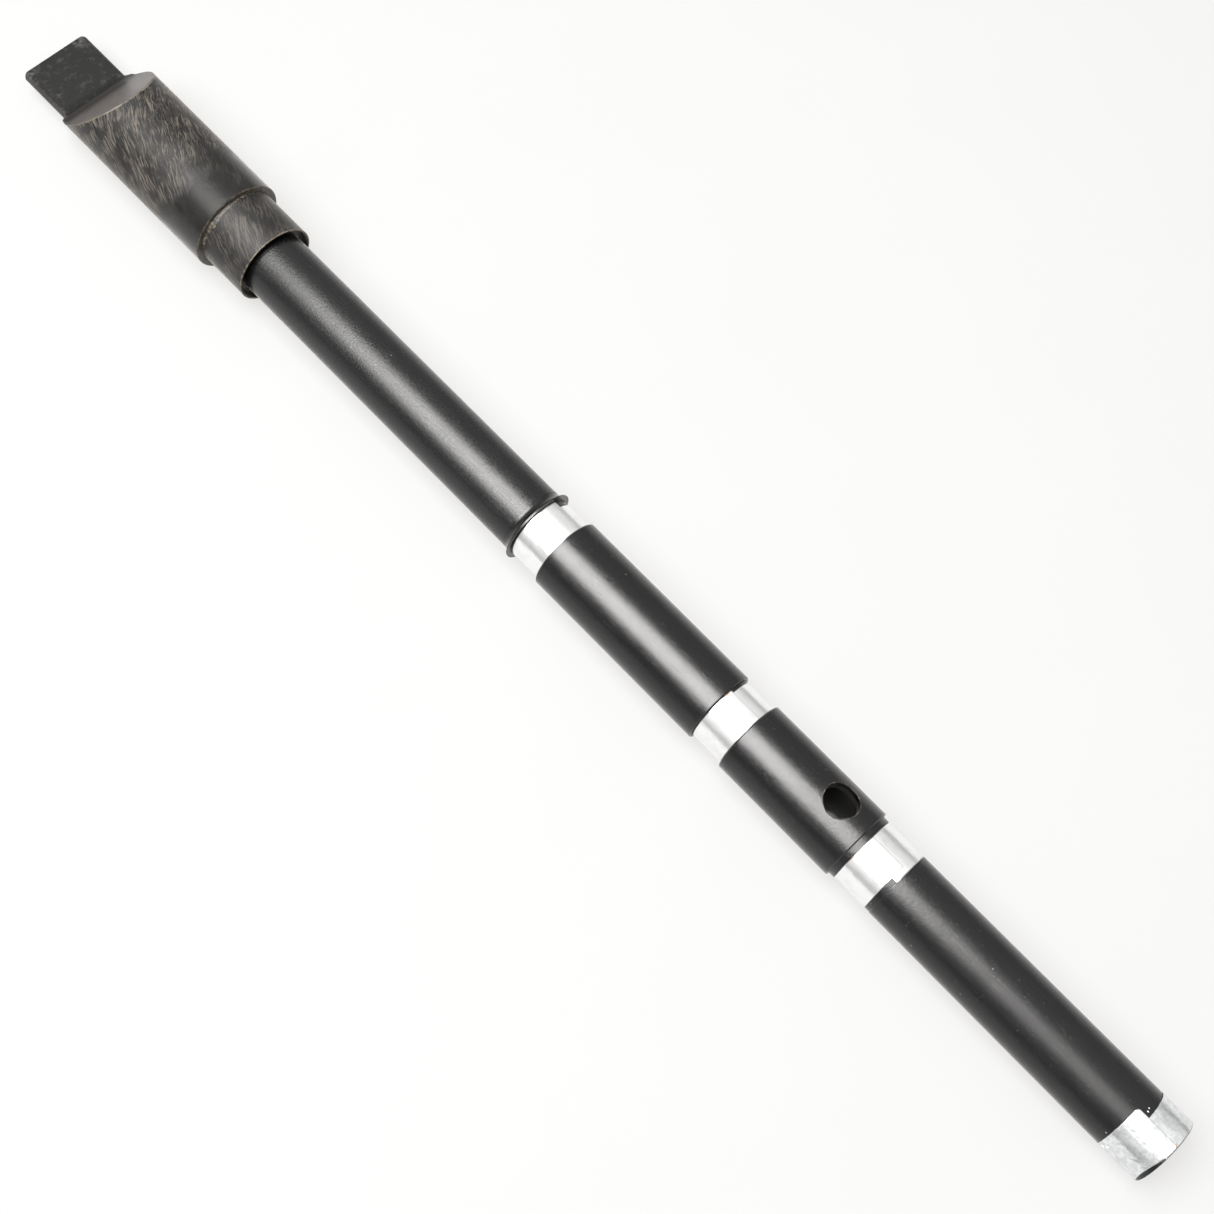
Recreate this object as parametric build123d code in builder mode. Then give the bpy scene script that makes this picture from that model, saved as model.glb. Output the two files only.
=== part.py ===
"""A low whistle in black pipe: sleeved head on a tuning slide, and a body in four sections.

The whistle lies along X. X = 0 is the mouth of the foot and X grows towards the mouthpiece.
+Z is the player's side (beak cut and thumb hole); the window and finger holes face -Z.
Every station is a distance from the foot end, in millimetres.
"""
from build123d import *
import os

# ---- driving dimensions -------------------------------------------------------------------

OVERALL = 581.1             # foot end to beak tip

PIPE_R = 13.35              # three-quarter inch pipe, outside
BORE_R = 10.45              # its bore, the same all the way down
SKIN_R = 14.5               # sleeve over the pipe on the two hand sections
HEAD_PIPE_R = 16.65         # one inch pipe inside the head, outside
HEAD_BORE_R = 14.4
HEAD_R = 19.2               # outer sleeve of the head
EDGE = 0.35                 # bevel on cut pipe ends

# head, measured back from the beak tip
HEAD_LENGTH = 115.6
HEAD_PIPE_LENGTH = 137.5
TONGUE_LENGTH = 28.5        # flat part of the beak
TONGUE_LEVEL = -9.8         # height of that flat
SHOULDER_RUN = 28.1         # slope from the flat up to the full round
SHOULDER_BLEND = 3.5
BEAK_CORNER = 6.0           # rounding of the beak's two corners
LIP_ROUND = 1.3             # rounding of the beak's lip
SIDE_ROUND = 1.5            # rounding of the flat's long edges
COLLAR_MOUTH_R = 16.1       # the head pipe's mouth is opened out to a thin rim
COLLAR_MOUTH_DEPTH = 2.6
WINDWAY_LENGTH = 57.5       # the block fills the head past the top of the shoulder
WINDWAY_HEIGHT = 1.5
WINDOW_LENGTH = 9.0
WINDOW_WIDTH = 14.0
RAMP_LENGTH = 22.0
BLADE_THICK = 0.5
CUTOUT_MARGIN = 1.0         # how far the sleeve's cut-out clears the window all round

# tuning slide
SLIDE_TOP = 91.0            # top of the upper pipe, back from the beak tip
BUSH_SPAN = (95.0, 134.5)   # slide bush, back from the beak tip
SLIDE_FIT = 0.10            # radial clearance of the slide
SLIDE_SEALS = (101.0, 117.0)  # seal stations, back from the beak tip
SLIDE_SEAL_R = 0.5

# body stations
UPPER_END = 298.4           # lower end of the upper pipe
UPPER_HAND = (205.5, 284.3)
LOWER_HAND = (136.6, 191.3)
LOWER_HAND_BARE = 2.4       # pipe left bare below the lower hand's sleeve
FOOT_TOP = 120.1
LIP_RING_R = 15.2           # flared lip round the upper pipe's end
LIP_RING_LENGTH = 4.0
LIP_RING_EDGE = 0.4

# joints between the sections: an aluminium tenon with a collar and a thin wrapped band
TENON_R = 11.57
SOCKET_R = 11.65
SOCKET_SPARE = 0.4          # room left beyond each tenon's end
FACE_GAP = 0.1              # between a collar and the pipe end beside it
COLLAR_R = 13.15
LAP_THICK = 0.12            # second layer of the band at its lap
LAP_ARC = 24.0
TENON_SEAL_R = 0.4
SEAL_FIT = 0.05             # clearance of a seal in its groove and in its bore

# (top of the section below, end of the section above, tenon depth below, tenon depth above,
#  angle of the band's seam from the back line)
JOINTS = (
    (UPPER_HAND[1], UPPER_END, 15.0, 20.0, 34.0),
    (LOWER_HAND[1], UPPER_HAND[0], 15.0, 10.0, 14.0),
    (FOOT_TOP, LOWER_HAND[0], 8.0, 8.0, 8.0),
)
FOOT_BAND_LENGTH = 13.2
FOOT_SEAM_ANGLE = 0.0

# finger holes (station, radius), on the side away from the player
UPPER_HAND_HOLES = ((263.0, 4.3), (242.0, 4.8), (221.0, 4.6))
LOWER_HAND_HOLES = ((169.5, 4.9), (151.5, 5.5))
FOOT_HOLES = ((106.0, 4.9),)
THUMB_HOLE = (152.2, 6.75)
THUMB_TURN = 12.0           # the thumb hole sits this far round from the back line


def from_tip(distance):
    """Station of a point given by its distance from the beak tip."""
    return OVERALL - distance


def save(part, name):
    """Label a finished piece and write it under its own name."""
    part.label = name
    export_step(part, f"parts/{name}.step")


def tube(low, high, outer, inner, bevel=0.0):
    """A plain pipe from station low to station high, its end edges bevelled."""
    with BuildPart() as pipe:
        with BuildSketch(Plane.YZ.offset(low)):
            Circle(outer)
            Circle(inner, mode=Mode.SUBTRACT)
        extrude(amount=high - low)
        if bevel:
            chamfer(pipe.edges().filter_by(GeomType.CIRCLE), length=bevel)
    return pipe.part


def ring_groove(stations, outer, depth, width):
    """Square grooves turned into a pipe of radius outer, as one cutting tool."""
    with BuildPart() as tool:
        with BuildSketch(Plane.XZ):
            with Locations(*[(station, outer) for station in stations]):
                Rectangle(width, 2 * depth)
        revolve(axis=Axis.X)
    return tool.part


def seal(station, outer, thickness_r):
    """A rubber sealing ring whose outside radius is outer."""
    with BuildPart() as ring:
        with BuildSketch(Plane.XZ):
            with Locations((station, outer - thickness_r)):
                Circle(thickness_r)
        revolve(axis=Axis.X)
    return ring.part


def radial_holes(holes, turn=0.0, away=True):
    """Drilled holes as one tool; away from the player, or on the back line turned by turn."""
    with BuildPart() as drill:
        with BuildSketch(Plane.XY.rotated((turn, 0, 0))):
            for station, radius in holes:
                with Locations((station, 0)):
                    Circle(radius)
        extrude(amount=-HEAD_R if away else HEAD_R)
    return drill.part


def wrapped_band(low, high, outer, inner, seam_angle):
    """A thin band rolled round a collar, its end lying over its start in a lap."""
    with BuildPart() as band:
        with BuildSketch(Plane.YZ.offset(low)):
            Circle(outer)
            Circle(inner, mode=Mode.SUBTRACT)
        extrude(amount=high - low)
        with BuildSketch(Plane.XZ.rotated((seam_angle, 0, 0))):
            with Locations(((low + high) / 2, outer)):
                Rectangle(high - low, 2 * LAP_THICK)
        revolve(axis=Axis.X, revolution_arc=LAP_ARC)
    return band.part


os.makedirs("parts", exist_ok=True)

# ---- head ---------------------------------------------------------------------------------

# what the beak's flat and its shoulder take away, seen from the side
with BuildPart() as beak_waste:
    with BuildSketch(Plane.XZ):
        with BuildLine():
            tip = OVERALL + 1
            root = (from_tip(TONGUE_LENGTH), TONGUE_LEVEL)
            rise = HEAD_R + 4 - TONGUE_LEVEL
            run = rise * SHOULDER_RUN / (HEAD_R - TONGUE_LEVEL)
            top = (root[0] - run, root[1] + rise)
            lip_start = (OVERALL - LIP_ROUND, TONGUE_LEVEL)
            lip_end = (OVERALL, TONGUE_LEVEL - LIP_ROUND)
            FilletPolyline(lip_start, root, top, radius=SHOULDER_BLEND)
            RadiusArc(lip_start, lip_end, LIP_ROUND)
            Polyline(lip_end, (tip, lip_end[1]), (tip, top[1]), top)
        make_face()
    extrude(amount=HEAD_R + 1, both=True)

# what rounds the beak's two corners, seen from above
with BuildPart() as corner_waste:
    with BuildSketch(Plane.XY):
        half = (HEAD_R**2 - TONGUE_LEVEL**2) ** 0.5
        with Locations((OVERALL, 0)):
            Rectangle(2 * BEAK_CORNER, 2 * HEAD_R + 2)
        with Locations((OVERALL - 4 * BEAK_CORNER, 0)):
            RectangleRounded(8 * BEAK_CORNER, 2 * half, BEAK_CORNER, mode=Mode.SUBTRACT)
    extrude(amount=HEAD_R + 1, both=True)

# what rounds the flat's two long edges, seen from the tip
with BuildPart() as side_waste:
    with BuildSketch(Plane.YZ.offset(from_tip(TONGUE_LENGTH))):
        middle_z = TONGUE_LEVEL - SIDE_ROUND
        middle_y = ((HEAD_R - SIDE_ROUND) ** 2 - middle_z**2) ** 0.5
        outward = (HEAD_R + 1) / (HEAD_R - SIDE_ROUND)
        for side in (-1, 1):
            with BuildLine():
                Polyline(
                    (side * middle_y, middle_z),
                    (side * middle_y, TONGUE_LEVEL + 1),
                    (side * (HEAD_R + 1), TONGUE_LEVEL + 1),
                    (side * middle_y * outward, middle_z * outward),
                    close=True,
                )
            make_face()
        with Locations((-middle_y, middle_z), (middle_y, middle_z)):
            Circle(SIDE_ROUND, mode=Mode.SUBTRACT)
    extrude(amount=TONGUE_LENGTH + 1)

# window through the head pipe, and the ramp that leads down to the blade
window_top = from_tip(WINDWAY_LENGTH)
blade = window_top - WINDOW_LENGTH
ramp_end = blade - RAMP_LENGTH
with BuildPart() as window_waste:
    with BuildSketch(Plane.XZ):
        with BuildLine():
            Polyline(
                (window_top, -HEAD_BORE_R + 3),
                (blade, -HEAD_BORE_R + 3),
                (blade, -HEAD_BORE_R - BLADE_THICK),
                (ramp_end, -HEAD_PIPE_R),
                (ramp_end, -HEAD_R - 1),
                (window_top, -HEAD_R - 1),
                close=True,
            )
        make_face()
    extrude(amount=WINDOW_WIDTH / 2, both=True)

with BuildPart() as head_sleeve:
    add(tube(from_tip(HEAD_LENGTH), OVERALL, HEAD_R, HEAD_PIPE_R))
    fillet(head_sleeve.edges().group_by(Axis.X)[-1].sort_by(SortBy.RADIUS)[-1], LIP_ROUND)
    chamfer(head_sleeve.edges().group_by(Axis.X)[0].sort_by(SortBy.RADIUS)[-1], EDGE)
    add(beak_waste.part, mode=Mode.SUBTRACT)
    add(corner_waste.part, mode=Mode.SUBTRACT)
    add(side_waste.part, mode=Mode.SUBTRACT)
    with BuildSketch(Plane.XY):
        with Locations(((window_top + ramp_end) / 2, 0)):
            cutout_length = window_top - ramp_end + 2 * CUTOUT_MARGIN
            RectangleRounded(cutout_length, WINDOW_WIDTH + 2 * CUTOUT_MARGIN, 1.5)
    extrude(amount=-HEAD_R - 1, mode=Mode.SUBTRACT)
save(head_sleeve.part, "head_sleeve")

with BuildPart() as head_pipe:
    add(tube(from_tip(HEAD_PIPE_LENGTH), OVERALL, HEAD_PIPE_R, HEAD_BORE_R))
    with BuildSketch(Plane.YZ.offset(from_tip(HEAD_PIPE_LENGTH))):
        Circle(COLLAR_MOUTH_R)
    extrude(amount=COLLAR_MOUTH_DEPTH, mode=Mode.SUBTRACT)
    add(beak_waste.part, mode=Mode.SUBTRACT)
    add(corner_waste.part, mode=Mode.SUBTRACT)
    add(window_waste.part, mode=Mode.SUBTRACT)
    with BuildSketch(Plane.YZ.offset(window_top)):
        with Locations((0, -HEAD_PIPE_R)):
            Rectangle(2 * HEAD_PIPE_R, 2 * WINDWAY_HEIGHT)
    extrude(amount=WINDWAY_LENGTH, mode=Mode.SUBTRACT)
save(head_pipe.part, "head_pipe")

with BuildPart() as fipple_block:
    with BuildSketch(Plane.YZ.offset(window_top)):
        Circle(HEAD_BORE_R)
    extrude(amount=WINDWAY_LENGTH)
    add(beak_waste.part, mode=Mode.SUBTRACT)
    add(corner_waste.part, mode=Mode.SUBTRACT)
save(fipple_block.part, "fipple_block")

bush_low = from_tip(BUSH_SPAN[1])
bush_high = from_tip(BUSH_SPAN[0])
with BuildPart() as slide_bush:
    add(tube(bush_low, bush_high, HEAD_BORE_R, PIPE_R + SLIDE_FIT))
save(slide_bush.part, "slide_bush")

# ---- tuning slide seals, in grooves on the upper pipe -------------------------------------

slide_seal_outer = PIPE_R + SLIDE_FIT - SEAL_FIT
slide_groove_depth = PIPE_R - slide_seal_outer + 2 * SLIDE_SEAL_R + SEAL_FIT
slide_seal_stations = [from_tip(distance) for distance in SLIDE_SEALS]
for number, station in enumerate(slide_seal_stations, start=1):
    save(seal(station, slide_seal_outer, SLIDE_SEAL_R), f"slide_seal_{number}")

# ---- upper pipe ---------------------------------------------------------------------------


def socket(low, high):
    """What a tenon's socket takes out of a pipe, between two stations."""
    with BuildPart() as tool:
        with BuildSketch(Plane.YZ.offset(low)):
            Circle(SOCKET_R)
        extrude(amount=high - low)
    return tool.part


def socket_below(joint):
    """Socket in the section below a joint."""
    low, _, depth = joint[:3]
    return socket(low - depth - SOCKET_SPARE, low)


def socket_above(joint):
    """Socket in the section above a joint."""
    _, high, _, depth = joint[:4]
    return socket(high, high + depth + SOCKET_SPARE)


with BuildPart() as upper_pipe:
    add(tube(UPPER_END, from_tip(SLIDE_TOP), PIPE_R, BORE_R, EDGE))
    groove = 2 * SLIDE_SEAL_R + 4 * SEAL_FIT
    add(ring_groove(slide_seal_stations, PIPE_R, slide_groove_depth, groove), mode=Mode.SUBTRACT)
    add(socket_above(JOINTS[0]), mode=Mode.SUBTRACT)
save(upper_pipe.part, "upper_pipe")

with BuildPart() as upper_end_ring:
    with BuildSketch(Plane.XZ):
        with BuildLine():
            rim = (UPPER_END + LIP_RING_EDGE, LIP_RING_R)
            hollow = (UPPER_END + 0.35 * LIP_RING_LENGTH, PIPE_R + 0.6)
            feather = (UPPER_END + LIP_RING_LENGTH, PIPE_R + 0.1)
            ThreePointArc(rim, hollow, feather)
            Polyline(feather, (feather[0], PIPE_R), (UPPER_END, PIPE_R), (UPPER_END, LIP_RING_R), rim)
        make_face()
    revolve(axis=Axis.X)
save(upper_end_ring.part, "upper_end_ring")

# ---- hand sections and foot ---------------------------------------------------------------

with BuildPart() as upper_hand_pipe:
    add(tube(*UPPER_HAND, PIPE_R, BORE_R))
    add(socket_below(JOINTS[0]), mode=Mode.SUBTRACT)
    add(socket_above(JOINTS[1]), mode=Mode.SUBTRACT)
    add(radial_holes(UPPER_HAND_HOLES), mode=Mode.SUBTRACT)
save(upper_hand_pipe.part, "upper_hand_pipe")

with BuildPart() as upper_hand_sleeve:
    add(tube(*UPPER_HAND, SKIN_R, PIPE_R, EDGE))
    add(radial_holes(UPPER_HAND_HOLES), mode=Mode.SUBTRACT)
save(upper_hand_sleeve.part, "upper_hand_sleeve")

with BuildPart() as lower_hand_pipe:
    add(tube(*LOWER_HAND, PIPE_R, BORE_R))
    add(socket_below(JOINTS[1]), mode=Mode.SUBTRACT)
    add(socket_above(JOINTS[2]), mode=Mode.SUBTRACT)
    add(radial_holes(LOWER_HAND_HOLES), mode=Mode.SUBTRACT)
    add(radial_holes([THUMB_HOLE], THUMB_TURN, away=False), mode=Mode.SUBTRACT)
save(lower_hand_pipe.part, "lower_hand_pipe")

with BuildPart() as lower_hand_sleeve:
    add(tube(LOWER_HAND[0] + LOWER_HAND_BARE, LOWER_HAND[1], SKIN_R, PIPE_R, EDGE))
    add(radial_holes(LOWER_HAND_HOLES), mode=Mode.SUBTRACT)
    add(radial_holes([THUMB_HOLE], THUMB_TURN, away=False), mode=Mode.SUBTRACT)
save(lower_hand_sleeve.part, "lower_hand_sleeve")

with BuildPart() as foot_pipe:
    add(tube(0, FOOT_TOP, PIPE_R, BORE_R))
    add(socket_below(JOINTS[2]), mode=Mode.SUBTRACT)
    with BuildSketch(Plane.YZ):
        Circle(PIPE_R)
        Circle(COLLAR_R, mode=Mode.SUBTRACT)
    extrude(amount=FOOT_BAND_LENGTH, mode=Mode.SUBTRACT)
    add(radial_holes(FOOT_HOLES), mode=Mode.SUBTRACT)
save(foot_pipe.part, "foot_pipe")

foot_band = wrapped_band(0, FOOT_BAND_LENGTH, PIPE_R, COLLAR_R, FOOT_SEAM_ANGLE)
save(foot_band, "foot_band")

# ---- joints -------------------------------------------------------------------------------

tenon_seal_outer = SOCKET_R - SEAL_FIT
tenon_groove_depth = TENON_R - tenon_seal_outer + 2 * TENON_SEAL_R
tenon_groove_width = 2 * TENON_SEAL_R + 2 * SEAL_FIT
for number, (low, high, depth_below, depth_above, seam) in enumerate(JOINTS, start=1):
    seal_stations = {"lower": low - depth_below / 2, "upper": high + depth_above / 2}
    with BuildPart() as tenon:
        add(tube(low - depth_below, high + depth_above, TENON_R, BORE_R, EDGE))
        grooves = ring_groove(
            seal_stations.values(), TENON_R, tenon_groove_depth, tenon_groove_width
        )
        add(grooves, mode=Mode.SUBTRACT)
    save(tenon.part, f"joint_{number}_tenon")
    save(tube(low + FACE_GAP, high - FACE_GAP, COLLAR_R, TENON_R), f"joint_{number}_collar")
    band = wrapped_band(low + FACE_GAP, high - FACE_GAP, PIPE_R, COLLAR_R, seam)
    save(band, f"joint_{number}_band")
    for side, station in seal_stations.items():
        save(seal(station, tenon_seal_outer, TENON_SEAL_R), f"joint_{number}_seal_{side}")
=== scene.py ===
import math
import random

import bmesh
import bpy
from mathutils import Matrix, Vector, noise


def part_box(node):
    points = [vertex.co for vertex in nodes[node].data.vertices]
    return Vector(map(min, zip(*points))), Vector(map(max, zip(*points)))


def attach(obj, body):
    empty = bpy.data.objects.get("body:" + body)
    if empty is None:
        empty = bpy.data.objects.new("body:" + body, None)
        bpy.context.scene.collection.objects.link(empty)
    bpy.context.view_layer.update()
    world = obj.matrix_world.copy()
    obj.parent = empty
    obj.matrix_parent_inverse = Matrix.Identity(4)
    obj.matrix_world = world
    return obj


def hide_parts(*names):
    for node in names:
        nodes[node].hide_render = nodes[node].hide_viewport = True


# The looks and the studio of the low whistle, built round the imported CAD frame

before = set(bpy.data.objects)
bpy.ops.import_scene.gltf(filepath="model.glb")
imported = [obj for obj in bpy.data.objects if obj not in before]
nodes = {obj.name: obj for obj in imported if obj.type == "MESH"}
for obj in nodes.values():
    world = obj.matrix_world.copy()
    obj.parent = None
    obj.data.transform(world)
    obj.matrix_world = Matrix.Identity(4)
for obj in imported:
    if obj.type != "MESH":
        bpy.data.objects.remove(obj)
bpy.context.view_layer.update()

MM = 0.001
TO_MM = 1000
FULL_TURN = 2 * math.pi


def span(node):
    """Where a CAD node starts and ends along the bore, in mm."""
    low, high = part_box(node)
    return TO_MM * low.x, TO_MM * high.x


def outer_radius(node):
    """How far a CAD node reaches above the bore's axis, in mm."""
    return TO_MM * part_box(node)[1].z


# Sizes that the CAD gives, in mm

HEAD_END_X, BEAK_TIP_X = span("head_sleeve")
COLLAR_END_X = span("head_pipe")[0]
HEAD_R = outer_radius("head_sleeve")
HEAD_PIPE_R = outer_radius("head_pipe")
SLEEVE_R = outer_radius("upper_hand_sleeve")
PIPE_R = outer_radius("foot_pipe")
RING_R = outer_radius("joint_2_collar")

# The beak's two cuts: a flat tongue, and a shoulder that rises from its root to the sleeve's top

TONGUE_LENGTH = 28.5
SHOULDER_LENGTH = 28.1
SHOULDER_ROOT_X = BEAK_TIP_X - TONGUE_LENGTH
SHOULDER_ROOT_Z = -9.8
SHOULDER_SLOPE = (HEAD_R - SHOULDER_ROOT_Z) / SHOULDER_LENGTH
FLAT_HALF_WIDTH = 13.6


# Studio, in metres. The camera and the lights are rolled about the bore from straight above, and
# the camera leans towards the foot.

SENSOR_MM = 36
LENS_MM = 54.86
ROLL = math.radians(18)
LEAN = math.radians(12.5)
AIM_X = 0.2594
CAMERA_DISTANCE = 0.6579
SIDE_SHIFT = 0.002845
FLOOR_GAP = 0.0002
FLOOR_REACH = 4.0
SOFTBOX_HEIGHT = 1.2

# Lowest x, highest x, width and glow of each light
SOFTBOXES = {
    "key": (0.16, 0.95, 1.06, 15.9),
    "fill": (-0.7, 0.14, 0.82, 3.0),
    "top": (0.95, 1.5, 0.5, 0.9),
}

to_foot = Vector((-1, 0, 0))
upward = Vector((0, math.sin(ROLL), math.cos(ROLL)))
sideways = Vector((0, -math.cos(ROLL), math.sin(ROLL)))
camera_back = math.sin(LEAN) * to_foot + math.cos(LEAN) * upward
camera_along = math.cos(LEAN) * to_foot - math.sin(LEAN) * upward
camera_right = (camera_along + sideways).normalized()
camera_up = (sideways - camera_along).normalized()
aim = Vector((AIM_X, 0, 0))


def looking(location, right, up, back):
    """A world matrix from three axes and a place."""
    rows = [[right[i], up[i], back[i], location[i]] for i in range(3)]
    return Matrix(rows + [[0, 0, 0, 1]])


def add_camera():
    """The camera at the photograph's viewing angle, with the whistle along the picture's diagonal."""
    data = bpy.data.cameras.new("camera")
    data.sensor_width = SENSOR_MM
    data.lens = LENS_MM
    data.clip_start = 0.01
    data.clip_end = 50
    camera = bpy.data.objects.new("camera", data)
    bpy.context.scene.collection.objects.link(camera)
    location = aim + CAMERA_DISTANCE * camera_back - SIDE_SHIFT * sideways
    camera.matrix_world = looking(location, camera_right, camera_up, camera_back)
    bpy.context.scene.camera = camera


def add_softbox(name, low_x, high_x, width, glow):
    """A wide light over part of the whistle's length, rolled about the bore as the camera is."""
    data = bpy.data.lights.new(name, "AREA")
    data.shape = "RECTANGLE"
    data.size = high_x - low_x
    data.size_y = width
    data.energy = glow * math.pi * data.size * data.size_y
    data.color = (1, 0.99, 0.97)
    light = bpy.data.objects.new(name, data)
    bpy.context.scene.collection.objects.link(light)
    above = Vector(((low_x + high_x) / 2, 0, 0)) + SOFTBOX_HEIGHT * upward
    along = Vector((1, 0, 0))
    light.matrix_world = looking(above, along, upward.cross(along), upward)


class Graph:
    """Writes a node tree with short calls. Places and lengths are in mm, in the part's frame."""

    def __init__(self, tree):
        self.tree = tree
        tree.nodes.clear()

    def feed(self, socket, value):
        """Links a socket's value on, or sets a constant."""
        if isinstance(value, bpy.types.NodeSocket):
            self.tree.links.new(value, socket)
        else:
            socket.default_value = value

    def node(self, kind, settings=None, **inputs):
        """A new node; an underscore in an input's name stands for a space."""
        made = self.tree.nodes.new(kind)
        for key, value in (settings or {}).items():
            setattr(made, key, value)
        for key, value in inputs.items():
            self.feed(made.inputs[key.replace("_", " ")], value)
        return made

    def calculate(self, kind, operation, values):
        """The outputs of a new maths node."""
        made = self.tree.nodes.new(kind)
        made.operation = operation
        for socket, value in zip(made.inputs, values):
            self.feed(socket, value)
        return made.outputs

    def vector_math(self, operation, *values):
        return self.calculate("ShaderNodeVectorMath", operation, values)

    def math(self, operation, *values):
        return self.calculate("ShaderNodeMath", operation, values)[0]

    def plus(self, first, second):
        return self.math("ADD", first, second)

    def minus(self, first, second):
        return self.math("SUBTRACT", first, second)

    def times(self, first, second):
        return self.math("MULTIPLY", first, second)

    def larger(self, first, second):
        return self.math("MAXIMUM", first, second)

    def mix(self, factor, first, second):
        """first where factor is 0, second where it is 1."""
        made = self.node("ShaderNodeMix", {"data_type": "RGBA"})
        for index, value in ((0, factor), (6, first), (7, second)):
            self.feed(made.inputs[index], value)
        return made.outputs[2]

    def ramp(self, value, low, high, start=0.0, end=1.0):
        """A smooth step from start at low to end at high."""
        made = self.node("ShaderNodeMapRange", {"interpolation_type": "SMOOTHSTEP"})
        for index, number in enumerate((value, low, high, start, end)):
            self.feed(made.inputs[index], number)
        return made.outputs[0]

    def noise(self, vector, scale, detail=2.0, roughness=0.5):
        made = self.node(
            "ShaderNodeTexNoise", Vector=vector, Scale=scale, Detail=detail, Roughness=roughness
        )
        return made.outputs["Fac"]

    def millimetres(self):
        """The place on the surface, in the part's frame."""
        coordinates = self.tree.nodes.new("ShaderNodeTexCoord")
        made = self.node("ShaderNodeVectorMath", {"operation": "SCALE"}, Scale=TO_MM)
        self.feed(made.inputs[0], coordinates.outputs["Object"])
        return made.outputs[0]

    def unrolled(self, place, radius):
        """The tube's surface laid flat: the flat place, along the axis, and round it."""
        parts = self.node("ShaderNodeSeparateXYZ", Vector=place).outputs
        around = self.times(self.math("ARCTAN2", parts["Y"], parts["Z"]), radius)
        flat = self.node("ShaderNodeCombineXYZ", X=parts["X"], Y=around)
        return flat.outputs[0], parts["X"], around

    def inside(self, place, outer, inner):
        """1 nearer the axis than inner, 0 beyond outer."""
        across = self.vector_math("MULTIPLY", place, (0, 1, 1))
        reach = self.vector_math("LENGTH", across[0])
        return self.ramp(reach["Value"], outer, inner)

    def streaks(self, flat, length, width, tilt, low, high, seed):
        """Fine marks at tilt degrees to the axis: 0 where the noise is low, 1 where it is high."""
        turned = self.node(
            "ShaderNodeMapping",
            {"vector_type": "TEXTURE"},
            Vector=flat,
            Location=(seed, 1.7 * seed, 0),
            Rotation=(0, 0, math.radians(tilt)),
            Scale=(length, width, 1),
        )
        return self.ramp(self.noise(turned.outputs[0], 1.0, 1.5, 0.5), low, high)

    def specks(self, place, spacing, size, share):
        """Scattered tiny dots: 1 on a dot, 0 elsewhere."""
        cells = self.node("ShaderNodeTexVoronoi", Vector=place, Scale=1 / spacing)
        near = self.ramp(cells.outputs["Distance"], size, 0.4 * size)
        tint = self.node("ShaderNodeSeparateXYZ", Vector=cells.outputs["Color"])
        return self.times(near, self.math("LESS_THAN", tint.outputs["X"], share))

    def bump(self, height, distance):
        """A normal from height; distance is in metres."""
        return self.node("ShaderNodeBump", Height=height, Distance=distance, Strength=1.0).outputs[0]


class Surface(Graph):
    """A new material; sockets that stay the same all over are set on its shader here."""

    def __init__(self, name, **constants):
        self.material = bpy.data.materials.new(name)
        self.material.use_nodes = True
        super().__init__(self.material.node_tree)
        self.shader = self.node("ShaderNodeBsdfPrincipled", **constants)
        output = self.tree.nodes.new("ShaderNodeOutputMaterial")
        self.feed(output.inputs["Surface"], self.shader.outputs[0])

    def finish(self, **varying):
        """Links what changes over the surface, and returns the material."""
        for key, value in varying.items():
            self.feed(self.shader.inputs[key.replace("_", " ")], value)
        return self.material


def add_world():
    """Soft light from above, dimmer in a ring low round the whistle."""
    world = bpy.data.worlds.new("studio")
    world.use_nodes = True
    graph = Graph(world.node_tree)
    coordinates = graph.tree.nodes.new("ShaderNodeTexCoord")
    height = graph.vector_math("DOT_PRODUCT", coordinates.outputs["Generated"], Vector((0, 0, 1)))
    ring = graph.ramp(height["Value"], low=0.12, high=0.45, start=0.42, end=0.76)
    overhead = graph.ramp(height["Value"], low=0.62, high=0.8, start=0.0, end=0.23)
    glow = graph.plus(ring, overhead)
    background = graph.node("ShaderNodeBackground", Color=(1.0, 0.997, 0.99, 1), Strength=glow)
    output = graph.tree.nodes.new("ShaderNodeOutputWorld")
    graph.feed(output.inputs["Surface"], background.outputs[0])
    bpy.context.scene.world = world


def glowing_floor_paper():
    """Pale paper that glows as painted light, lifting the shadows near the whistle, and a little
    darker far from the whistle.
    """
    look = Surface("glowing_floor_paper", Roughness=0.9, Emission_Color=(1.0, 0.98, 0.955, 1))
    place = look.millimetres()
    away = look.vector_math("DISTANCE", place, aim / MM)
    mottle = look.noise(place, 0.02, 3.0)
    return look.finish(
        Base_Color=look.mix(mottle, (0.092, 0.097, 0.101, 1), (0.098, 0.103, 0.108, 1)),
        # Painted light: the warm glow is strongest near the whistle, lifting its shadows, and fades
        # far from it
        Emission_Strength=look.ramp(away["Value"], low=420, high=1500, start=0.635, end=0.34),
    )


def add_floor():
    """A pale sheet just under the whistle, which lies on its foot and its head."""
    foot_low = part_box("foot_pipe")[0]
    head_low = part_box("head_sleeve")[0]
    slope = (head_low.z - foot_low.z) / (head_low.x - foot_low.x)
    mesh = bpy.data.meshes.new("floor")
    work = bmesh.new()
    bmesh.ops.create_grid(work, x_segments=8, y_segments=8, size=FLOOR_REACH)
    for corner in work.verts:
        corner.co.x += aim.x
        corner.co.z = foot_low.z + slope * (corner.co.x - foot_low.x) - FLOOR_GAP
    work.to_mesh(mesh)
    work.free()
    floor = bpy.data.objects.new("floor", mesh)
    floor.data.materials.append(glowing_floor_paper())
    bpy.context.scene.collection.objects.link(floor)


# Materials of the whistle; colours are linear red, green, blue and alpha

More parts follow.
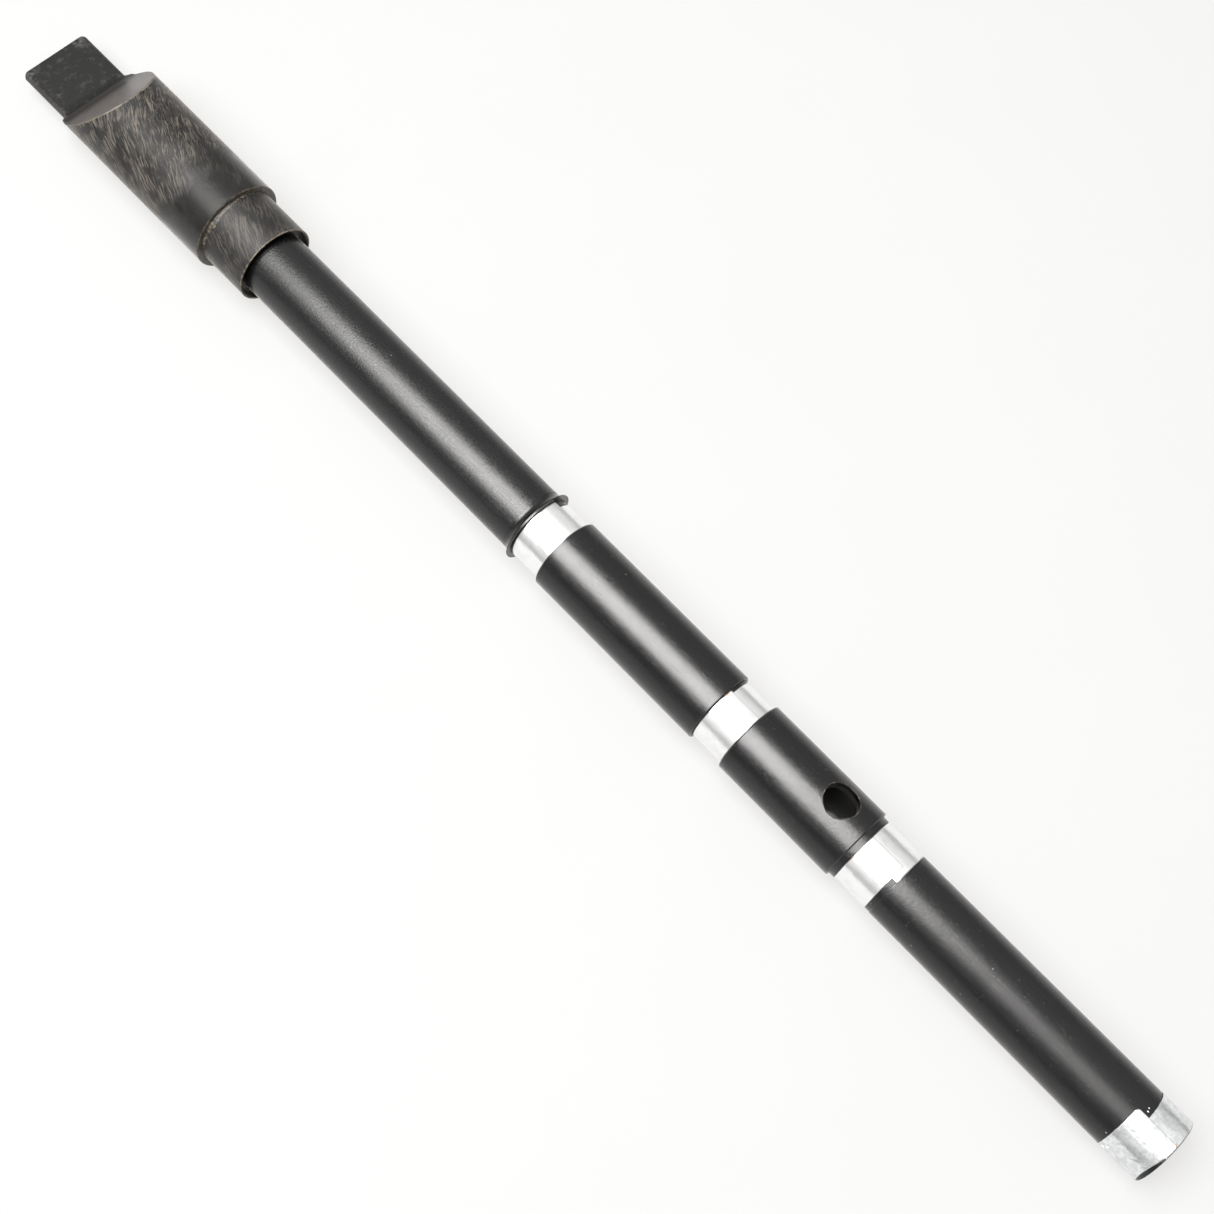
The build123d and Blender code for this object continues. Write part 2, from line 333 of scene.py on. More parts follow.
def black_plastic(name, dark, grey, rough_low, rough_high, upper_rough, seed):
    """Satin black tube with faint lengthwise rubbing, dust and handling marks.

    upper_rough is added towards the head. The bore is duller than the outside.
    """
    look = Surface(
        name, IOR=1.5, Sheen_Weight=0.14, Sheen_Roughness=0.22, Sheen_Tint=(1, 0.88, 0.8, 1)
    )
    place = look.millimetres()
    flat, along, _ = look.unrolled(place, radius=14.0)
    rubbing = look.streaks(flat, length=14.0, width=0.22, tilt=1.5, low=0.52, high=0.72, seed=seed)
    short = look.streaks(flat, length=1.1, width=0.3, tilt=1.5, low=0.4, high=0.65, seed=seed + 5)
    cloud = look.noise(place, 0.07, 4.0, 0.6)
    dust = look.specks(place, spacing=2.2, size=0.11, share=0.4)
    fleck = look.specks(place, spacing=6.0, size=0.05, share=0.5)
    in_bore = look.inside(place, outer=12.4, inner=11.8)

    colour = look.mix(cloud, dark, grey)
    colour = look.mix(look.times(rubbing, 0.1), colour, (0.04, 0.038, 0.036, 1))
    colour = look.mix(look.times(dust, 0.6), colour, (0.075, 0.07, 0.065, 1))
    colour = look.mix(look.times(fleck, 0.8), colour, (0.2, 0.18, 0.15, 1))

    rough = look.ramp(cloud, 0.3, 0.7, rough_low, rough_high)
    rough = look.plus(rough, look.ramp(along, low=120, high=300, start=0.0, end=upper_rough))
    for mark, amount in ((rubbing, 0.08), (short, 0.055), (in_bore, 0.4)):
        rough = look.plus(rough, look.times(mark, amount))

    grain = look.times(look.noise(place, 6.0, 3.0), 0.45)
    height = look.plus(look.times(rubbing, -0.6), grain)
    height = look.plus(height, look.times(short, -1.5))
    return look.finish(Base_Color=colour, Roughness=rough, Normal=look.bump(height, 0.000012))


def sanding_marks(look, flat, patch):
    """Light scratches across each other, thick in some patches, from 0 to 1."""
    coarse = look.streaks(flat, length=13.0, width=0.75, tilt=-24, low=0.57, high=0.61, seed=3.0)
    crossing = look.streaks(flat, length=16.0, width=0.7, tilt=-36, low=0.585, high=0.62, seed=57.0)
    fine = look.streaks(flat, length=6.0, width=0.42, tilt=-20, low=0.54, high=0.61, seed=31.0)
    faint = look.streaks(flat, length=9.0, width=0.5, tilt=-12, low=0.5, high=0.64, seed=91.0)
    marks = look.larger(coarse, look.times(crossing, 0.85))
    marks = look.larger(marks, look.times(fine, 0.6))
    marks = look.times(marks, look.ramp(patch, 0.38, 0.58, 0.12, 1.0))
    return look.larger(marks, look.times(faint, 0.28))


def shoulder_sanding_and_painted_light(look, flat, patch, above_root):
    """The shoulder's cut, sanded across. Its pale tone is partly painted reflection of the bright
    surroundings seen at a grazing angle, and it is darker towards its root: painted shade in the
    corner.
    """
    sanding = look.streaks(flat, length=5.0, width=0.5, tilt=76, low=0.4, high=0.62, seed=12.0)
    sanding = look.plus(look.times(sanding, 0.5), look.times(patch, 0.6))
    # Pale face tone: partly painted reflection of the bright surroundings seen at a grazing angle
    face = look.mix(sanding, (0.028, 0.025, 0.024, 1), (0.075, 0.066, 0.062, 1))
    # Painted shade: darker towards the root, in the corner under the shoulder
    return look.mix(look.ramp(above_root, 0.5, 12.0), (0.011, 0.0095, 0.009, 1), face)


def tongue_colour(look, place, along, aside, broad):
    """The flat near the tip: almost black, with pale specks, smudges and paler long edges."""
    specks = look.specks(place, spacing=0.9, size=0.15, share=0.26)
    cloudy = look.noise(place, 0.35, 5.0, 0.7)
    smudge = look.ramp(cloudy, 0.52, 0.72, 0.0, 0.3)
    near_tip = look.ramp(along, BEAK_TIP_X - 8, BEAK_TIP_X - 1)
    corner = look.times(near_tip, look.ramp(aside, 5, 12))
    corner = look.times(corner, look.ramp(cloudy, 0.42, 0.66, 0.0, 0.8))
    long_edge = look.ramp(look.plus(aside, look.times(broad, 1.5)), 14.4, 15.9, 0.0, 0.5)
    marks = look.larger(look.times(specks, 0.5), look.larger(smudge, corner))
    marks = look.larger(marks, long_edge)
    return look.mix(marks, (0.0012, 0.0011, 0.0011, 1), (0.07, 0.067, 0.064, 1))


def pale_rims_wear_and_highlight(look, place, along, to_root, over_plane):
    """The pale rims of the shoulder, the collar's mouth and the sleeve's end, from 0 to 1: partly edge
    wear, partly a painted highlight where these edges catch the light.
    """
    crest = look.math("ABSOLUTE", look.plus(over_plane, 0.5))
    rim_wear_and_highlight = look.times(look.ramp(crest, 0.3, 0.1), look.ramp(to_root, 1.0, 4.0))
    mouth = look.ramp(along, COLLAR_END_X + 0.5, COLLAR_END_X + 0.15)
    rim = look.math("ABSOLUTE", look.minus(along, HEAD_END_X + 0.15))
    rim_wear_and_highlight = look.larger(look.larger(rim_wear_and_highlight, mouth), look.ramp(rim, 0.35, 0.1, 0.0, 0.35))
    return look.times(rim_wear_and_highlight, look.ramp(look.noise(place, 0.6, 3.0, 0.6), 0.4, 0.58, 0.15, 0.85))


def sanded_plastic():
    """The head: coarse slanting sanding marks, smoother towards the sleeve's lower end."""
    look = Surface(
        "sanded_plastic_look", IOR=1.5, Sheen_Roughness=0.3, Sheen_Tint=(1, 0.93, 0.87, 1)
    )
    place = look.millimetres()
    _, along, around = look.unrolled(place, radius=18.0)
    parts = look.node("ShaderNodeSeparateXYZ", Vector=place).outputs
    aside = look.math("ABSOLUTE", parts["Y"])
    broad = look.noise(place, 0.09, 2.0)
    patch = look.noise(place, 0.16, 3.0, 0.6)
    bent = look.plus(around, look.times(broad, 4.0))
    flat = look.node("ShaderNodeCombineXYZ", X=along, Y=bent).outputs[0]

    above_root = look.minus(parts["Z"], SHOULDER_ROOT_Z)
    to_root = look.minus(SHOULDER_ROOT_X, along)
    over_plane = look.minus(above_root, look.times(to_root, SHOULDER_SLOPE))
    on_shoulder = look.ramp(over_plane, -0.5, -0.25)
    on_tongue = look.times(look.ramp(to_root, 0.4, -1.0), look.ramp(above_root, -2.4, -1.2))
    on_cut = look.larger(on_shoulder, on_tongue)
    off_cut = look.minus(1.0, on_cut)

    edge = look.plus(along, look.times(look.minus(broad, 0.5), 44.0))
    on_sleeve = look.ramp(edge, HEAD_END_X + 8, HEAD_END_X + 40, 0.05, 1.0)
    on_collar = look.ramp(along, HEAD_END_X + 0.5, HEAD_END_X - 0.5, 0.0, 0.5)
    amount = look.times(look.larger(on_sleeve, on_collar), off_cut)
    marks = look.times(sanding_marks(look, flat, patch), amount)

    base = look.mix(patch, (0.001, 0.001, 0.001, 1), (0.005, 0.0044, 0.004, 1))
    light = look.mix(look.noise(place, 0.3), (0.052, 0.05, 0.048, 1), (0.115, 0.095, 0.073, 1))
    colour = look.mix(look.times(marks, 0.85), base, light)
    # The shoulder carries painted reflection and painted shade besides its sanding
    colour = look.mix(on_shoulder, colour, shoulder_sanding_and_painted_light(look, flat, patch, above_root))
    colour = look.mix(on_tongue, colour, tongue_colour(look, place, along, aside, broad))
    # Pale rims: partly edge wear, partly a painted highlight along the edges
    rim_wear_and_highlight = pale_rims_wear_and_highlight(look, place, along, to_root, over_plane)
    colour = look.mix(rim_wear_and_highlight, colour, (0.14, 0.115, 0.08, 1))

    rough = look.plus(look.ramp(amount, 0.0, 0.7, 0.26, 0.52), look.times(on_cut, 0.12))
    gloss = look.minus(look.ramp(on_tongue, 0.0, 1.0, 0.46, 0.36), look.times(amount, 0.14))
    grain = look.noise(place, 5.0, 3.0)
    height = look.plus(look.times(marks, -1.0), look.times(grain, 0.35))
    return look.finish(
        Base_Color=colour,
        Roughness=rough,
        Specular_IOR_Level=gloss,
        Sheen_Weight=look.times(off_cut, 0.2),
        Normal=look.bump(height, 0.00005),
    )


def foil():
    """Thin bright aluminium foil, faintly crinkled; at the foot it is duller and more creased."""
    look = Surface("foil_look", Metallic=0.97)
    place = look.millimetres()
    flat, along, _ = look.unrolled(place, radius=13.35)
    rolling = look.streaks(flat, length=9.0, width=0.2, tilt=88, low=0.35, high=0.75, seed=5.0)
    at_foot = look.ramp(along, 30.0, 18.0)
    stain = look.ramp(look.noise(place, 0.16, 4.0, 0.6), 0.45, 0.75)
    handling = look.ramp(look.noise(place, 0.5, 4.0, 0.65), 0.4, 0.62)
    bright = look.mix(stain, (0.9, 0.9, 0.9, 1), (0.82, 0.815, 0.8, 1))
    dull = look.mix(handling, (0.68, 0.69, 0.7, 1), (0.82, 0.83, 0.84, 1))
    crinkle = look.times(look.noise(place, 0.35, 2.0, 0.5), look.plus(1.0, at_foot))
    height = look.plus(crinkle, look.times(rolling, 0.006))
    return look.finish(
        Base_Color=look.mix(at_foot, bright, dull),
        Roughness=look.ramp(rolling, 0.0, 1.0, 0.22, 0.26),
        Normal=look.bump(height, 0.0001),
    )


def tenon_metal():
    """Plain drawn aluminium tube, turned and a little worn."""
    look = Surface("tenon_look", Metallic=1.0)
    flat = look.unrolled(look.millimetres(), radius=11.5)[0]
    turning = look.streaks(flat, length=20.0, width=0.15, tilt=90, low=0.3, high=0.7, seed=9.0)
    wear = look.streaks(flat, length=12.0, width=0.4, tilt=2, low=0.55, high=0.75, seed=19.0)
    colour = look.mix(turning, (0.6, 0.6, 0.59, 1), (0.72, 0.72, 0.71, 1))
    return look.finish(
        Base_Color=look.mix(look.times(wear, 0.4), colour, (0.42, 0.41, 0.4, 1)),
        Roughness=look.ramp(turning, 0.0, 1.0, 0.28, 0.4),
        Normal=look.bump(turning, 0.000006),
    )


def rubber():
    """The sealing rings."""
    look = Surface("rubber_look", IOR=1.5)
    place = look.millimetres()
    cloud = look.noise(place, 0.8, 3.0)
    dust = look.specks(place, spacing=0.8, size=0.12, share=0.3)
    colour = look.mix(cloud, (0.01, 0.01, 0.01, 1), (0.022, 0.021, 0.02, 1))
    return look.finish(
        Base_Color=look.mix(look.times(dust, 0.4), colour, (0.12, 0.11, 0.1, 1)),
        Roughness=look.ramp(cloud, 0.2, 0.8, 0.45, 0.6),
        Normal=look.bump(look.noise(place, 7.0, 3.0), 0.000008),
    )


def bush_plastic():
    """Turned dark plastic of the slide's bush."""
    look = Surface("bush_look", IOR=1.5)
    flat = look.unrolled(look.millimetres(), radius=14.0)[0]
    turning = look.streaks(flat, length=25.0, width=0.2, tilt=90, low=0.3, high=0.7, seed=2.0)
    return look.finish(
        Base_Color=look.mix(turning, (0.014, 0.0135, 0.013, 1), (0.03, 0.029, 0.028, 1)),
        Roughness=look.ramp(turning, 0.0, 1.0, 0.4, 0.55),
        Normal=look.bump(turning, 0.00001),
    )


def glue():
    """Old amber glue, darker where it is thick."""
    look = Surface("glue_look", IOR=1.45)
    cloud = look.noise(look.millimetres(), 1.6, 3.0)
    thick = look.ramp(cloud, 0.4, 0.6)
    return look.finish(
        Base_Color=look.mix(thick, (0.5, 0.29, 0.09, 1), (0.12, 0.06, 0.025, 1)),
        Roughness=look.ramp(cloud, 0.3, 0.7, 0.25, 0.5),
        Normal=look.bump(cloud, 0.00005),
    )


def crumb():
    """Pale dry crumbs of glue and plastic."""
    look = Surface("crumb_look", IOR=1.45)
    cloud = look.noise(look.millimetres(), 2.2, 3.0)
    return look.finish(
        Base_Color=look.mix(cloud, (0.5, 0.48, 0.43, 1), (0.8, 0.79, 0.76, 1)),
        Roughness=look.ramp(cloud, 0.3, 0.7, 0.55, 0.8),
        Normal=look.bump(cloud, 0.00005),
    )


def burr():
    """Ragged cut edge of the black plastic, paler where it is torn."""
    look = Surface("burr_look", IOR=1.5)
    place = look.millimetres()
    torn = look.ramp(look.noise(place, 0.8, 4.0, 0.65), 0.48, 0.6)
    return look.finish(
        Base_Color=look.mix(torn, (0.0025, 0.0022, 0.002, 1), (0.085, 0.066, 0.046, 1)),
        Roughness=look.ramp(torn, 0.0, 1.0, 0.45, 0.7),
        Normal=look.bump(look.noise(place, 4.0, 3.0), 0.00006),
    )


glue_look = glue()
crumb_look = crumb()
burr_look = burr()
looks = {
    "black_pipe": black_plastic(
        "black_pipe_look",
        dark=(0.0008, 0.0008, 0.0009, 1),
        grey=(0.002, 0.0019, 0.0019, 1),
        rough_low=0.14,
        rough_high=0.18,
        upper_rough=0.08,
        seed=11.0,
    ),
    "black_sleeve": black_plastic(
        "black_sleeve_look",
        dark=(0.0005, 0.0005, 0.0006, 1),
        grey=(0.0014, 0.0013, 0.0013, 1),
        rough_low=0.13,
        rough_high=0.18,
        upper_rough=0.0,
        seed=47.0,
    ),
    "sanded_plastic": sanded_plastic(),
    "bush_plastic": bush_plastic(),
    "rubber": rubber(),
    "tenon_metal": tenon_metal(),
    "band_metal": foil(),
}

for node in nodes.values():
    for holder in node.material_slots:
        holder.material = looks[holder.material.name]


# Mesh pieces, worked out in mm

def add_piece(name, mesh, slot, body, look=None):
    """A visible piece that rides a body, with its slot's look or one of its own."""
    piece = bpy.data.objects.new(name, mesh)
    mesh.materials.append(look or looks[slot])
    bpy.context.scene.collection.objects.link(piece)
    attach(piece, body)
    return piece


def smooth_mesh(name, work):
    """Ends the bmesh work as a smooth shaded mesh."""
    mesh = bpy.data.meshes.new(name)
    work.to_mesh(mesh)
    work.free()
    for face in mesh.polygons:
        face.use_smooth = True
    return mesh


def sheet_mesh(name, rows, columns, point):
    """A closed thin sheet; point(u, v, side) gives its inner and outer surface."""
    work = bmesh.new()
    grids = []
    for side in (0, 1):
        grid = []
        for i in range(rows + 1):
            line = [work.verts.new(point(i / rows, j / columns, side)) for j in range(columns + 1)]
            grid.append(line)
        grids.append(grid)
    inner, outer = grids
    for i in range(rows):
        for j in range(columns):
            work.faces.new((outer[i][j], outer[i][j + 1], outer[i + 1][j + 1], outer[i + 1][j]))
            work.faces.new((inner[i][j], inner[i + 1][j], inner[i + 1][j + 1], inner[i][j + 1]))
    first, last = 0, columns
    for i in range(rows):
        work.faces.new((outer[i][first], outer[i + 1][first], inner[i + 1][first], inner[i][first]))
        work.faces.new((outer[i + 1][last], outer[i][last], inner[i][last], inner[i + 1][last]))
    first, last = 0, rows
    for j in range(columns):
        work.faces.new((outer[first][j + 1], outer[first][j], inner[first][j], inner[first][j + 1]))
        work.faces.new((outer[last][j], outer[last][j + 1], inner[last][j + 1], inner[last][j]))
    bmesh.ops.recalc_face_normals(work, faces=work.faces)
    return smooth_mesh(name, work)


def ease(value, low, high):
    """A smooth step from 0 at low to 1 at high."""
    t = min(max((value - low) / (high - low), 0.0), 1.0)
    return t * t * (3 - 2 * t)


def around_axis(x, angle, radius):
    """A point on the tube, with the angle from the back line towards the thumb hole's side."""
    return Vector((x, -radius * math.sin(angle), radius * math.cos(angle))) * MM


# Foil bands

FOIL_THICK = 0.06
FOIL_GAP = 0.03
FOIL_LAP = math.radians(24)
LAP_CLIMB = math.radians(7)
LAP_GAP = 0.012
END_LIFT = 0.05
END_LIFT_REACH = 0.8
CREASE_WIDTH = 0.3


def ridge(place, start, end):
    """How near a point on the unrolled foil is to a crease, from 0 to 1."""
    run = end - start
    share = min(max((place - start).dot(run) / run.length_squared, 0.0), 1.0)
    gap = (place - start - share * run).length / CREASE_WIDTH
    return math.exp(-gap * gap) * math.sin(math.pi * (0.1 + 0.8 * share))


def raggedness(angle, seed):
    """How far the foil's cut edge strays."""
    slow = noise.noise(Vector((11 * angle, seed, 0)))
    quick = noise.noise(Vector((37 * angle, seed, 3)))
    return 0.1 * slow + 0.06 * quick


def dents(x, angle, seed):
    """How far the foil's surface strays."""
    spot = Vector((0.22 * x + seed, 3.2 * math.cos(angle), 3.2 * math.sin(angle)))
    return 0.014 * (noise.noise(spot) + 0.5 * noise.noise(2.3 * spot))


def foil_band(name, node, body, seam_degrees, low, high, inner_radius, seed, corner=0.6, creases=()):
    """A foil strip wrapped once round the tube, its end lapped over its start.

    low and high give the strip's edges in mm from the foot at each share of the wrap. A crease is
    start x, start angle, end x, end angle and height, in mm and degrees.
    """
    start = math.radians(seam_degrees) - FOIL_LAP
    sweep = FULL_TURN + FOIL_LAP
    lap_start = start + FULL_TURN
    folds = []
    for x0, angle0, x1, angle1, tall in creases:
        first = Vector((x0, (math.radians(angle0) + FULL_TURN) * inner_radius))
        last = Vector((x1, (math.radians(angle1) + FULL_TURN) * inner_radius))
        folds.append((first, last, tall))

    def point(u, v, side):
        angle = start + u * sweep
        stray = raggedness(angle, seed)
        bottom, top = low(u) + stray, high(u) + 0.8 * stray
        to_end = (1 - u) * sweep * inner_radius
        if to_end < corner:
            cut = corner - math.sqrt(corner * corner - (corner - to_end) ** 2)
            bottom, top = bottom + 0.3 * cut, top - cut
        x = bottom + v * (top - bottom)
        upper_layer = ease(angle, lap_start - LAP_CLIMB, lap_start)
        radius = inner_radius + upper_layer * (FOIL_THICK + LAP_GAP) + side * FOIL_THICK
        radius += dents(x, angle, seed)
        uneven = 0.7 + 0.6 * noise.noise(Vector((0.5 * x, seed, 0)))
        radius += END_LIFT * math.exp(-to_end / END_LIFT_REACH) * uneven
        for first, last, tall in folds:
            radius += tall * ridge(Vector((x, angle * inner_radius)), first, last)
        return around_axis(x, angle, radius)

    mesh = sheet_mesh(name, rows=380, columns=44, point=point)
    piece = add_piece(name, mesh, "band_metal", body)
    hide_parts(node)


def level(value):
    """An edge square to the tube."""
    return lambda u: value


def slanted(first, last, start=0.08, end=0.92):
    """An edge that moves from first to last between two shares of the wrap."""
    return lambda u: first + (last - first) * ease(u, start, end)


def short_at(level_x, first, last, amount):
    """An edge level everywhere but between two shares of the wrap, where it draws back."""
    middle = (first + last) / 2
    return lambda u: level_x + amount * ease(u, first, middle) * (1 - ease(u, middle, last))


def add_bands():
    """The four foils, their edges slanted and creased as in the photograph."""
    ring = RING_R + FOIL_GAP
    low, high = span("joint_1_band")
    foil_band(
        "joint_1_foil", "joint_1_band", "joint_1", seam_degrees=34,
        low=level(low), high=slanted(high - 2.8, high), inner_radius=ring, seed=1.3,
    )
    low, high = span("joint_2_band")
    foil_band(
        "joint_2_foil", "joint_2_band", "joint_2", seam_degrees=14,
        low=level(low), high=slanted(high - 1.1, high), inner_radius=ring, seed=4.1,
    )
    low, high = span("joint_3_band")
    foil_band(
        "joint_3_foil", "joint_3_band", "joint_3", seam_degrees=8,
        low=slanted(low, low + 2.3), high=level(high), inner_radius=ring, seed=7.7,
        creases=[(low + 1.5, 22, low + 1.5, 75, 0.08)],
    )
    low, high = span("foot_band")
    foil_band(
        "foot_foil", "foot_band", "foot_section", seam_degrees=0,
        low=short_at(low + 0.2, 0.7, 0.985, 1.5), high=slanted(high - 0.7, high + 4, 0.05, 0.97),
        inner_radius=PIPE_R + 0.02, seed=9.2, corner=1.5,
        creases=[
            (12.2, -80, 1.5, -46, 0.16),
            (6.3, -78, 0.8, -62, 0.13),
            (14.0, -30, 9.0, -8, 0.09),
        ],
    )


# Torn rims of the holes

THUMB_HOLE_DEGREES = 12
FINGER_HOLE_DEGREES = 180
THUMB_BURR = 0.2
FINGER_BURR = 0.09
# Body, place along the bore, hole radius and the tube's outer radius
THUMB_HOLE = ("lower_hand_section", 152.2, 6.75, SLEEVE_R)
FINGER_HOLES = [
    ("upper_hand_section", 263.0, 4.3, SLEEVE_R),
    ("upper_hand_section", 242.0, 4.8, SLEEVE_R),
    ("upper_hand_section", 221.0, 4.6, SLEEVE_R),
    ("lower_hand_section", 169.5, 4.9, SLEEVE_R),
    ("lower_hand_section", 151.5, 5.5, SLEEVE_R),
    ("foot_section", 106.0, 4.9, PIPE_R),
]


def bead_mesh(name, steps, path, thickness):
    """A closed rough bead along path(share), as thick as thickness(share)."""
    sides = 7
    work = bmesh.new()
    rings = []
    for i in range(steps):
        share = i / steps
        centre = path(share)
        along = (path((i + 1) / steps) - path((i - 1) / steps)).normalized()
        outward = Vector((0, centre.y, centre.z)).normalized()
        across = along.cross(outward).normalized()
        ring = []
        for k in range(sides):
            turn = FULL_TURN * k / sides
            rough = 1 + 0.35 * noise.noise(centre / MM * 1.7 + Vector((k * 3.1, 0, 0)))
            reach = thickness(share) * rough * MM
            way = math.cos(turn) * outward + math.sin(turn) * across
            ring.append(work.verts.new(centre + reach * way))
        rings.append(ring)
    for i in range(steps):
        here, there = rings[i], rings[(i + 1) % steps]
        for k in range(sides):
            work.faces.new((here[k], here[(k + 1) % sides], there[(k + 1) % sides], there[k]))
    bmesh.ops.recalc_face_normals(work, faces=work.faces)
    return smooth_mesh(name, work)


def add_hole_burr(name, hole, turn_degrees, size):
    """A torn rim round a drilled hole, about size thick."""
    body, station, hole_radius, surface_radius = hole
    turn = math.radians(turn_degrees)

    def wander(share, quickness):
        swing = FULL_TURN * share
        return noise.noise(Vector((quickness * math.cos(swing), quickness * math.sin(swing), station)))

    def path(share):
        swing = FULL_TURN * share
        reach = hole_radius * (1 + 0.012 * wander(share, 3))
        aside = math.asin(reach * math.sin(swing) / surface_radius)
        return around_axis(station + reach * math.cos(swing), turn + aside, surface_radius - 0.02)

    def thickness(share):
        return size * (1 + 0.7 * wander(share, 5))

    mesh = bead_mesh(name, steps=150, path=path, thickness=thickness)
    add_piece(name, mesh, "black_sleeve", body, burr_look)


def add_hole_burrs():
    add_hole_burr("thumb_hole_burr", THUMB_HOLE, THUMB_HOLE_DEGREES, THUMB_BURR)
    for number, hole in enumerate(FINGER_HOLES, start=1):
        add_hole_burr(f"finger_hole_{number}_burr", hole, FINGER_HOLE_DEGREES, FINGER_BURR)


# The head's filler, which also stands in as a dark ring of painted shade in the gap under the rim, and
# the worn corner

BEAD_PEAK_DEGREES = -42
BEAD_SPREAD_DEGREES = 30
CURVE_REACH = 4.2
CURVE_FLARE = 3.6
CURVE_STEPS = 24


def add_head_filler_and_gap_shade():
    """The ragged bead of black filler under the sleeve's lower rim, thickest on one side; where it
    runs thin all round, it is a dark ring of painted shade in the gap under the rim.
    """

    def swell(angle):
        off_peak = (math.degrees(angle) - BEAD_PEAK_DEGREES) / BEAD_SPREAD_DEGREES
        return math.exp(-(off_peak ** 2))

    def width(angle):
        uneven = noise.noise(Vector((9 * math.cos(angle), 9 * math.sin(angle), 0)))
        return 0.75 + 1.25 * swell(angle) + (0.12 + 0.35 * swell(angle)) * uneven

    def point(u, v, side):
        angle = math.pi + u * FULL_TURN
        if angle > math.pi:
            angle -= FULL_TURN
        x = HEAD_END_X + 0.1 - v * (width(angle) + 0.1)
        crown = 0.16 + 0.5 * swell(angle)
        lumps = 1 + 0.5 * noise.noise(Vector((0.8 * x, 14 * math.cos(angle), 14 * math.sin(angle))))
        rise = crown * lumps * (1 - v) ** 0.7 * side
        return around_axis(x, angle, HEAD_PIPE_R - 0.02 + rise + 0.03 * side)

    # Painted shade: the bead's thin dark ring all round stands in for the shade in the gap under the
    # rim
    mesh = sheet_mesh("head_filler_and_gap_shade", rows=300, columns=12, point=point)
    add_piece("head_filler_and_gap_shade", mesh, "sanded_plastic", "head", burr_look)


def curve_profile():
    """The curve's line seen from the side, from the tongue up to the shoulder, as x and z."""
    rise = math.atan(SHOULDER_SLOPE)
    radius = CURVE_REACH / math.tan(rise / 2)
    profile = [(SHOULDER_ROOT_X + CURVE_REACH + 0.6, SHOULDER_ROOT_Z - 0.08)]
    for i in range(CURVE_STEPS + 1):
        turn = rise * i / CURVE_STEPS
        x = SHOULDER_ROOT_X + CURVE_REACH - radius * math.sin(turn)
        profile.append((x, SHOULDER_ROOT_Z + 0.01 + radius * (1 - math.cos(turn))))
    x, z = profile[-1]
    return profile + [(x - 0.5, z + 0.5 * SHOULDER_SLOPE - 0.1)]


def add_beak_curve():
    """The worn curve where the beak's flat runs up into its shoulder."""
    profile = curve_profile()

    def point(u, v, side):
        x, z = profile[round(u * (len(profile) - 1))]
        past_root = min(max((x - SHOULDER_ROOT_X) / CURVE_FLARE, 0.0), 1.0)
        wide = math.sqrt(HEAD_R ** 2 - z ** 2)
        half = FLAT_HALF_WIDTH + (wide - FLAT_HALF_WIDTH) * (1 - past_root) ** 2 - 0.03
        y = (2 * v - 1) * half
        if side == 0:
            # Under the cuts, and beside the flat down to the sleeve's round side
            z = SHOULDER_ROOT_Z + SHOULDER_SLOPE * max(SHOULDER_ROOT_X - x, 0) - 0.25
            if x > SHOULDER_ROOT_X and abs(y) > FLAT_HALF_WIDTH - 0.5:
                z = -math.sqrt((HEAD_R - 0.03) ** 2 - y ** 2)
        return Vector((x, y, z)) * MM

    mesh = sheet_mesh("beak_curve", rows=len(profile) - 1, columns=60, point=point)
    add_piece("beak_curve", mesh, "sanded_plastic", "head")


# Specks of glue and crumbs

FLECK_RISE = 0.14


def add_blobs(name, body, look, spots):
    """Small hardened drops; each spot is x, angle in degrees, radius from the axis, size in mm."""
    chance = random.Random(name)
    work = bmesh.new()
    for x, degrees, radius, size in spots:
        angle = math.radians(degrees)
        outward = around_axis(0, angle, 1).normalized()
        made = bmesh.ops.create_icosphere(work, subdivisions=2, radius=size * MM)
        stretch = 1 + 0.5 * chance.random()
        shift = Vector([chance.uniform(0, 40) for _ in range(3)])
        for corner in made["verts"]:
            place = corner.co * (1 + 0.45 * noise.noise(corner.co / (size * MM) * 1.6 + shift))
            place.x *= stretch
            place -= 0.55 * place.dot(outward) * outward
            corner.co = place + around_axis(x, angle, radius)
    add_piece(name, smooth_mesh(name, work), "band_metal", body, look)


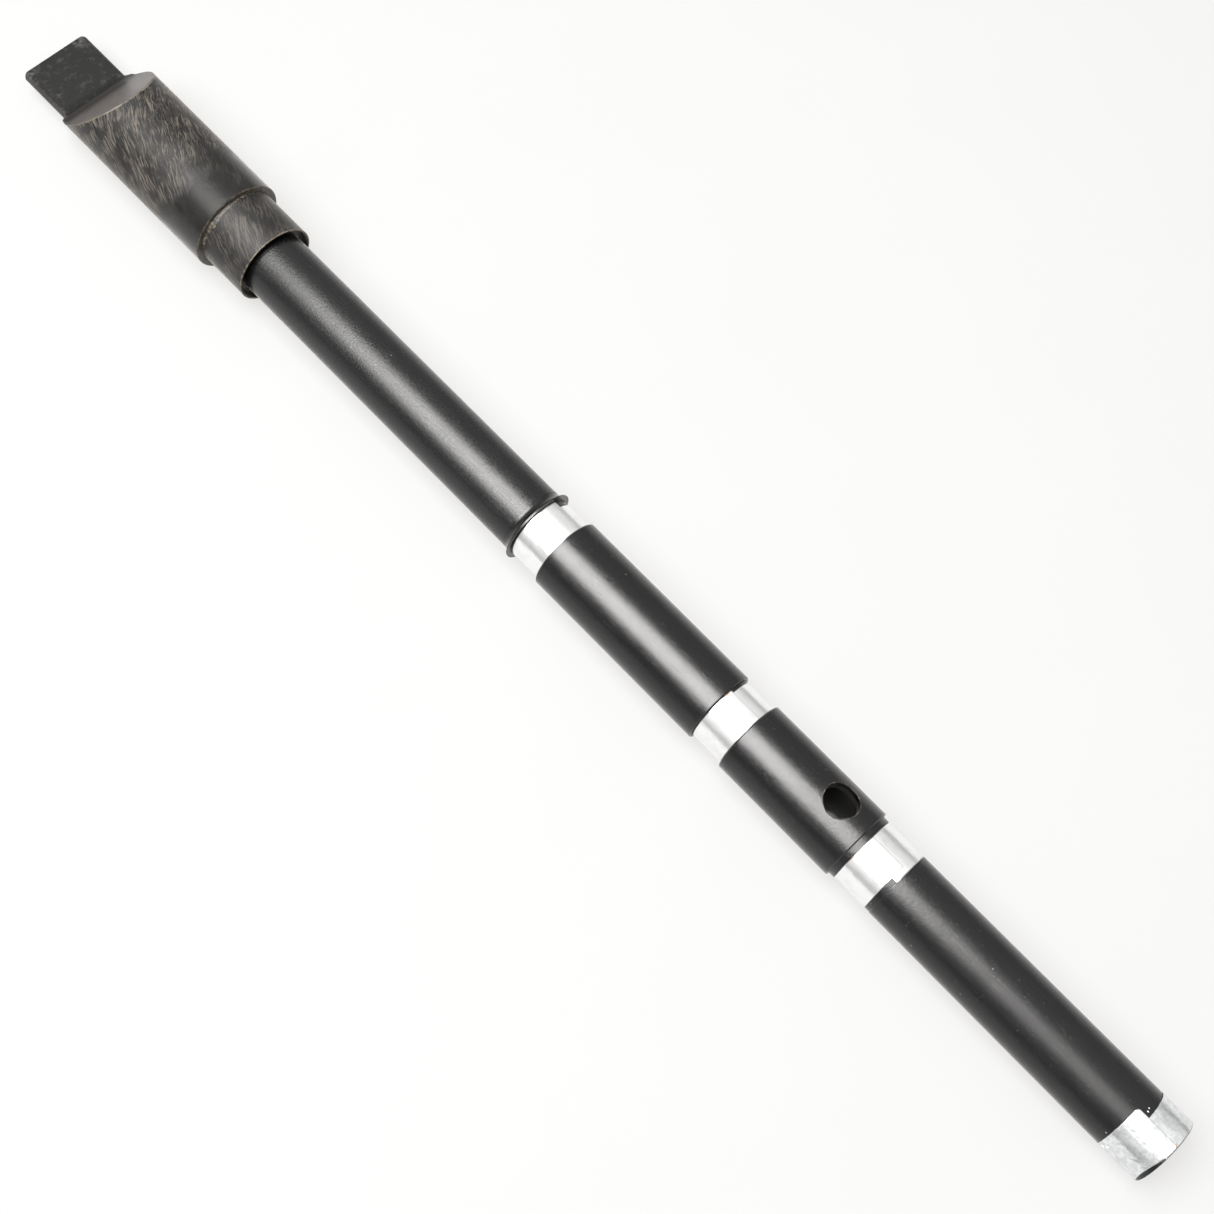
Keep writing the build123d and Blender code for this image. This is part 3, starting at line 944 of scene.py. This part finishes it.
def row(first_x, last_x, first_angle, last_angle, size, count, seed):
    """A loose row of drops between two places on a joint's foil."""
    chance = random.Random(seed)
    radius = RING_R + FLECK_RISE
    spots = []
    for i in range(count):
        share = (i + chance.uniform(-0.4, 0.4)) / max(count - 1, 1)
        x = first_x + (last_x - first_x) * share + chance.uniform(-0.15, 0.15)
        angle = first_angle + (last_angle - first_angle) * share
        spots.append((x, angle, radius, size * chance.uniform(0.5, 1.3)))
    return spots


def add_specks():
    """The drops of glue along the foils' edges, and the crumbs at the foot."""
    low, high = span("joint_1_band")
    spots = row(low + 0.1, low + 0.25, 36, 72, size=0.2, count=11, seed=2)
    add_blobs("joint_1_flecks", "joint_1", glue_look, spots)
    low, high = span("joint_2_band")
    spots = row(high - 0.3, high - 0.15, 2, 16, size=0.24, count=6, seed=5)
    add_blobs("joint_2_flecks", "joint_2", glue_look, spots)
    low, high = span("joint_3_band")
    spots = row(high - 0.2, high - 0.1, -42, -8, size=0.2, count=9, seed=7)
    add_blobs("joint_3_flecks", "joint_3", glue_look, spots)
    foot_glue = [
        (0.7, -1, PIPE_R + 0.1, 0.3),
        (1.1, 1.5, PIPE_R + 0.1, 0.2),
        (0.6, 50, PIPE_R + 0.05, 0.24),
        (0.7, 58, PIPE_R + 0.05, 0.18),
    ]
    add_blobs("foot_glue", "foot_section", glue_look, foot_glue)
    high = span("foot_band")[1]
    crumbs = [
        (high + 1.5, -92, PIPE_R + 0.05, 0.5),
        (high + 0.9, -80, PIPE_R + 0.05, 0.25),
        (high + 0.8, 6, PIPE_R + 0.03, 0.3),
        (high + 1.2, 11, PIPE_R + 0.03, 0.18),
        (high + 4.9, -60, PIPE_R + 0.02, 0.13),
    ]
    add_blobs("foot_crumbs", "foot_section", crumb_look, crumbs)


add_camera()
add_world()
for name, sizes in SOFTBOXES.items():
    add_softbox(name, *sizes)
add_floor()
add_bands()
add_hole_burrs()
add_head_filler_and_gap_shade()
add_beak_curve()
add_specks()
bpy.context.scene.view_settings.view_transform = "Standard"
